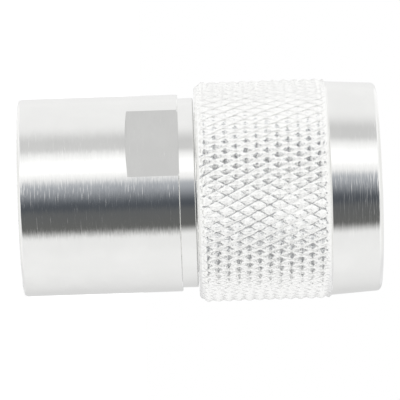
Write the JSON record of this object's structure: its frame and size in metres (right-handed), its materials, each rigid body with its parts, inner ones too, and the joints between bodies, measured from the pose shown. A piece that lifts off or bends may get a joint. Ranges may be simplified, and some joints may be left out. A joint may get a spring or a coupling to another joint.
{
  "type": "n type connector",
  "caption": "Coaxial N-type plug that closes a line: knurled coupling nut turning on a plug body, with a closed round rear housing that has wrench flats.",
  "frame": {"origin": "centre of the housing's closed back face, on which the part stands", "axes": "+Z along the coaxial line towards the mating end; the two wrench flats face +Y and -Y"},
  "size_m": [0.0208, 0.0208, 0.0334],
  "materials": {
    "housing_nickel": "bright nickel plate over turned brass, faint lathe marks",
    "body_nickel": "bright nickel plate over turned brass",
    "nut_nickel": "bright nickel plate over knurled brass",
    "contact_gold": "thin gold plate over spring brass",
    "ptfe": "turned white PTFE",
    "silicone": "moulded silicone rubber, matt",
    "nitrile": "moulded nitrile rubber",
    "ceramic": "ceramic rod with a thin resistive film",
    "silver_plate": "silver plated pressed caps",
    "spring_steel": "bare spring steel"
  },
  "bodies": {
    "plug": {"rear_housing": "housing_nickel", "plug_body": "body_nickel", "retaining_ring": "spring_steel", "face_gasket": "silicone", "outer_contact": "contact_gold", "center_pin": "contact_gold", "front_bead": "ptfe", "load_rod": "ceramic", "rod_cap_front": "silver_plate", "rod_cap_rear": "silver_plate", "taper_sleeve": "body_nickel", "ground_collet": "contact_gold", "disc_spring": "spring_steel", "housing_seal": "nitrile"},
    "nut": {"coupling_nut": "nut_nickel"}
  },
  "joints": [
    {"name": "nut_spin", "type": "hinge", "parent": "plug", "child": "nut", "pos_m": [0, 0, 0.025], "axis": [0, 0, 1], "continuous": true}
  ]
}
